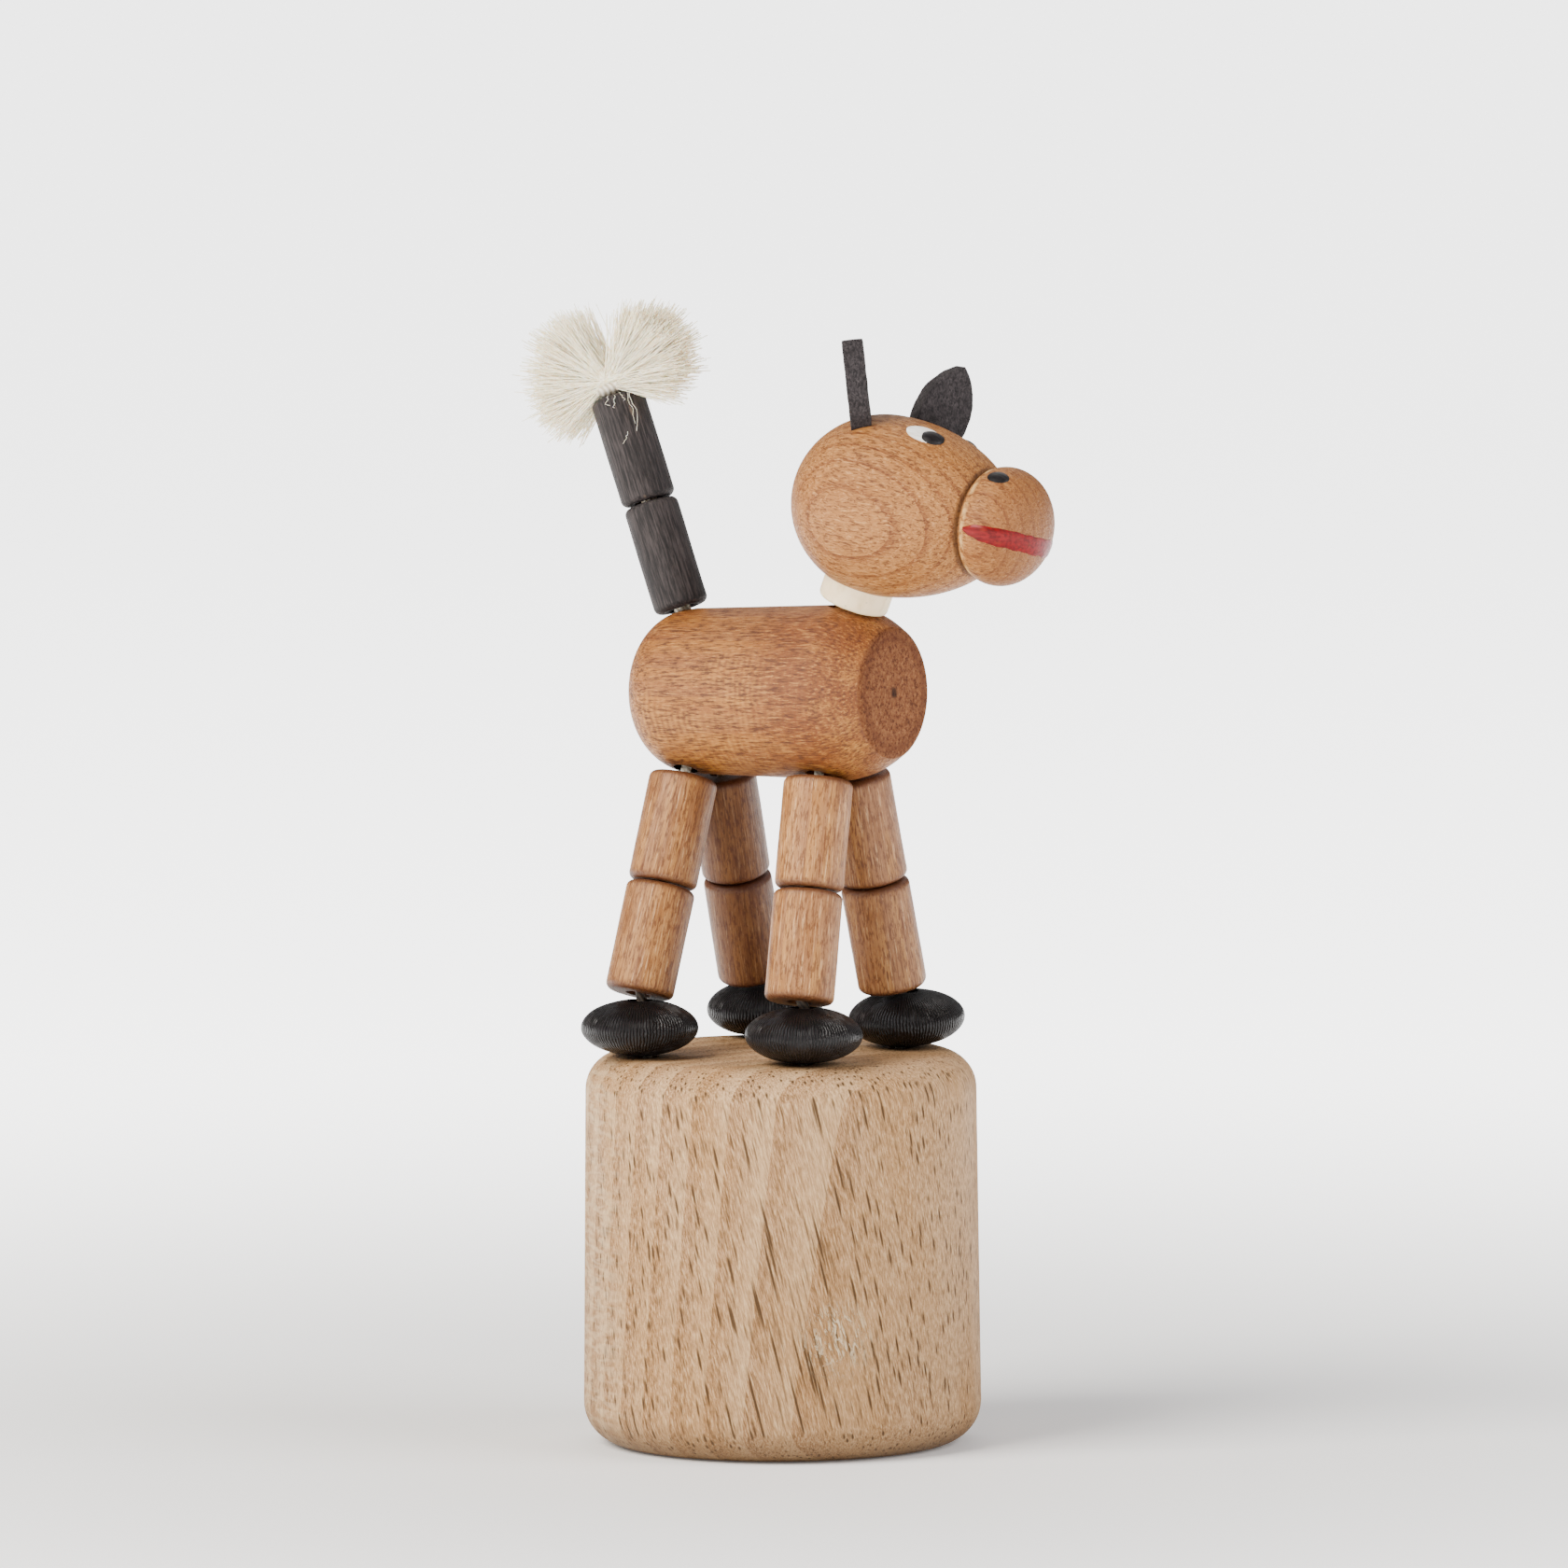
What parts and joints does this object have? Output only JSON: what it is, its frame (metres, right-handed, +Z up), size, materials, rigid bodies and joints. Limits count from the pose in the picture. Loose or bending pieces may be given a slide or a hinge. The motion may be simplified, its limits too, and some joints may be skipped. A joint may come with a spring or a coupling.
{
  "type": "push puppet",
  "caption": "Turned wooden horse on a round base; a spring button under the base slackens inner cords, so the legs lean over and head and tail drop.",
  "frame": {"origin": "centre of the base underside, on the surface it stands on", "axes": "+Z up, +X the way the horse faces, +Y its left side"},
  "size_m": [0.0518, 0.0346, 0.0994],
  "materials": {
    "raw_beech": "turned and sanded, unfinished",
    "brown_wood": "stained, satin lacquer",
    "light_brown_wood": "stained, satin lacquer",
    "leg_wood": "stained, satin lacquer",
    "black_wood": "black stain, semi-matt",
    "ivory_plastic": "moulded bead",
    "white_paint": "gloss enamel",
    "black_paint": "gloss enamel",
    "red_paint": "gloss enamel",
    "spring_steel": "drawn wire",
    "cord": "twisted thread",
    "yarn": "loose wool yarn"
  },
  "bodies": {
    "base": {"base": "raw_beech", "return_spring": "spring_steel", "cord_front_left": "cord", "cord_front_right": "cord", "cord_rear_left": "cord", "cord_rear_right": "cord"},
    "button": {"push_button": "raw_beech", "button_knots": "cord"},
    "foot_front_left": {"foot_front_left": "black_wood"},
    "foot_front_right": {"foot_front_right": "black_wood"},
    "foot_rear_left": {"foot_rear_left": "black_wood"},
    "foot_rear_right": {"foot_rear_right": "black_wood"},
    "shin_front_left": {"shin_front_left": "leg_wood"},
    "shin_front_right": {"shin_front_right": "leg_wood"},
    "shin_rear_left": {"shin_rear_left": "leg_wood"},
    "shin_rear_right": {"shin_rear_right": "leg_wood"},
    "thigh_front_left": {"thigh_front_left": "leg_wood"},
    "thigh_front_right": {"thigh_front_right": "leg_wood"},
    "thigh_rear_left": {"thigh_rear_left": "leg_wood"},
    "thigh_rear_right": {"thigh_rear_right": "leg_wood"},
    "torso": {"body": "brown_wood"},
    "neck": {"neck_collar": "ivory_plastic"},
    "head": {"head": "light_brown_wood", "ear_left": "black_wood", "ear_right": "black_wood", "eye_whites": "white_paint", "pupils": "black_paint", "nostrils": "black_paint", "mouth_line": "red_paint", "head_peg": "raw_beech"},
    "tail_lower": {"tail_bead_lower": "black_wood"},
    "tail_upper": {"tail_bead_upper": "black_wood", "tail_tuft": "yarn", "tuft_tie": "cord"}
  },
  "joints": [
    {"name": "button_press", "type": "slide", "parent": "base", "child": "button", "axis": [0, 0, 1], "range_m": [0, 0.0085], "stiffness_N_per_m": 12, "springref_m": 0.00107, "deforming": ["return_spring", "cord_front_left", "cord_front_right", "cord_rear_left", "cord_rear_right"]},
    {"name": "foot_roll_front_left", "type": "hinge", "parent": "base", "child": "foot_front_left", "pos_m": [0.00838, 0.00835, 0.0341], "axis": [0, 1, 0], "range_deg": [0, 8.05], "stiffness_Nm_per_rad": 0.0015, "springref_deg": 0.26},
    {"name": "ankle_front_left", "type": "hinge", "parent": "foot_front_left", "child": "shin_front_left", "pos_m": [0.00916, 0.00767, 0.03996], "axis": [0, 1, 0], "range_deg": [0, 52.05], "stiffness_Nm_per_rad": 0.00085, "springref_deg": 0.54},
    {"name": "knee_front_left", "type": "hinge", "parent": "shin_front_left", "child": "thigh_front_left", "pos_m": [0.00393, 0.00531, 0.04883], "axis": [0, -1, 0], "range_deg": [0, 6.05], "stiffness_Nm_per_rad": 0.00024, "springref_deg": 0.74},
    {"name": "foot_roll_front_right", "type": "hinge", "parent": "base", "child": "foot_front_right", "pos_m": [0.00838, -0.00835, 0.0341], "axis": [0, 1, 0], "range_deg": [0, 8.05], "stiffness_Nm_per_rad": 0.0015, "springref_deg": 0.26},
    {"name": "ankle_front_right", "type": "hinge", "parent": "foot_front_right", "child": "shin_front_right", "pos_m": [0.00916, -0.00767, 0.03996], "axis": [0, 1, 0], "range_deg": [0, 52.05], "stiffness_Nm_per_rad": 0.00085, "springref_deg": 0.54},
    {"name": "knee_front_right", "type": "hinge", "parent": "shin_front_right", "child": "thigh_front_right", "pos_m": [0.00393, -0.00531, 0.04883], "axis": [0, -1, 0], "range_deg": [0, 6.05], "stiffness_Nm_per_rad": 0.00024, "springref_deg": 0.74},
    {"name": "foot_roll_rear_left", "type": "hinge", "parent": "base", "child": "foot_rear_left", "pos_m": [-0.00627, 0.01008, 0.03396], "axis": [0, 1, 0], "range_deg": [0, 8.05], "stiffness_Nm_per_rad": 0.059, "springref_deg": -0.56},
    {"name": "ankle_rear_left", "type": "hinge", "parent": "foot_rear_left", "child": "shin_rear_left", "pos_m": [-0.00549, 0.00914, 0.03983], "axis": [0, 1, 0], "range_deg": [0, 52.05], "stiffness_Nm_per_rad": 0.05, "springref_deg": -0.61},
    {"name": "knee_rear_left", "type": "hinge", "parent": "shin_rear_left", "child": "thigh_rear_left", "pos_m": [-0.01072, 0.00605, 0.0487], "axis": [0, -1, 0], "range_deg": [0, 6.05], "stiffness_Nm_per_rad": 0.041, "springref_deg": 0.93},
    {"name": "hip_rear_left", "type": "hinge", "parent": "thigh_rear_left", "child": "torso", "pos_m": [-0.01115, 0.00295, 0.05757], "axis": [0, -1, 0], "range_deg": [0, 54.05], "stiffness_Nm_per_rad": 0.032, "springref_deg": 1.21},
    {"name": "foot_roll_rear_right", "type": "hinge", "parent": "base", "child": "foot_rear_right", "pos_m": [-0.00627, -0.01008, 0.03396], "axis": [0, 1, 0], "range_deg": [0, 8.05], "stiffness_Nm_per_rad": 0.0015, "springref_deg": 0.32},
    {"name": "ankle_rear_right", "type": "hinge", "parent": "foot_rear_right", "child": "shin_rear_right", "pos_m": [-0.00549, -0.00914, 0.03983], "axis": [0, 1, 0], "range_deg": [0, 52.05], "stiffness_Nm_per_rad": 0.00085, "springref_deg": 0.54},
    {"name": "knee_rear_right", "type": "hinge", "parent": "shin_rear_right", "child": "thigh_rear_right", "pos_m": [-0.01072, -0.00605, 0.0487], "axis": [0, -1, 0], "range_deg": [0, 6.05], "stiffness_Nm_per_rad": 0.00025, "springref_deg": 0.85},
    {"name": "neck_nod", "type": "hinge", "parent": "torso", "child": "neck", "pos_m": [0.01034, 0, 0.07265], "axis": [0, 1, 0], "range_deg": [0, 26.05], "stiffness_Nm_per_rad": 0.0057, "springref_deg": -0.74},
    {"name": "head_turn", "type": "hinge", "parent": "neck", "child": "head", "pos_m": [0.00856, 0, 0.07574], "axis": [0.3746, 0, 0.9272], "range_deg": [-20, 20]},
    {"name": "tail_root", "type": "hinge", "parent": "torso", "child": "tail_lower", "pos_m": [-0.01181, 0, 0.07227], "axis": [0, -1, 0], "range_deg": [0, 34.05], "stiffness_Nm_per_rad": 0.0015, "springref_deg": -0.49},
    {"name": "tail_joint", "type": "hinge", "parent": "tail_lower", "child": "tail_upper", "pos_m": [-0.01532, 0, 0.08075], "axis": [0, -1, 0], "range_deg": [0, 28.05], "stiffness_Nm_per_rad": 0.00073, "springref_deg": -0.27}
  ],
  "couplings": [
    {"joint": "foot_roll_front_left", "follows": "button_press", "rad_per_m": 16.427},
    {"joint": "ankle_front_left", "follows": "button_press", "rad_per_m": 106.77},
    {"joint": "knee_front_left", "follows": "button_press", "rad_per_m": 12.32},
    {"joint": "foot_roll_front_right", "follows": "button_press", "rad_per_m": 16.427},
    {"joint": "ankle_front_right", "follows": "button_press", "rad_per_m": 106.77},
    {"joint": "knee_front_right", "follows": "button_press", "rad_per_m": 12.32},
    {"joint": "foot_roll_rear_left", "follows": "button_press", "rad_per_m": 16.427},
    {"joint": "ankle_rear_left", "follows": "button_press", "rad_per_m": 106.77},
    {"joint": "knee_rear_left", "follows": "button_press", "rad_per_m": 12.32},
    {"joint": "hip_rear_left", "follows": "button_press", "rad_per_m": 110.88},
    {"joint": "foot_roll_rear_right", "follows": "button_press", "rad_per_m": 16.427},
    {"joint": "ankle_rear_right", "follows": "button_press", "rad_per_m": 106.77},
    {"joint": "knee_rear_right", "follows": "button_press", "rad_per_m": 12.32},
    {"joint": "neck_nod", "follows": "button_press", "rad_per_m": 53.387},
    {"joint": "tail_root", "follows": "button_press", "rad_per_m": 69.813},
    {"joint": "tail_joint", "follows": "button_press", "rad_per_m": 57.493}
  ]
}
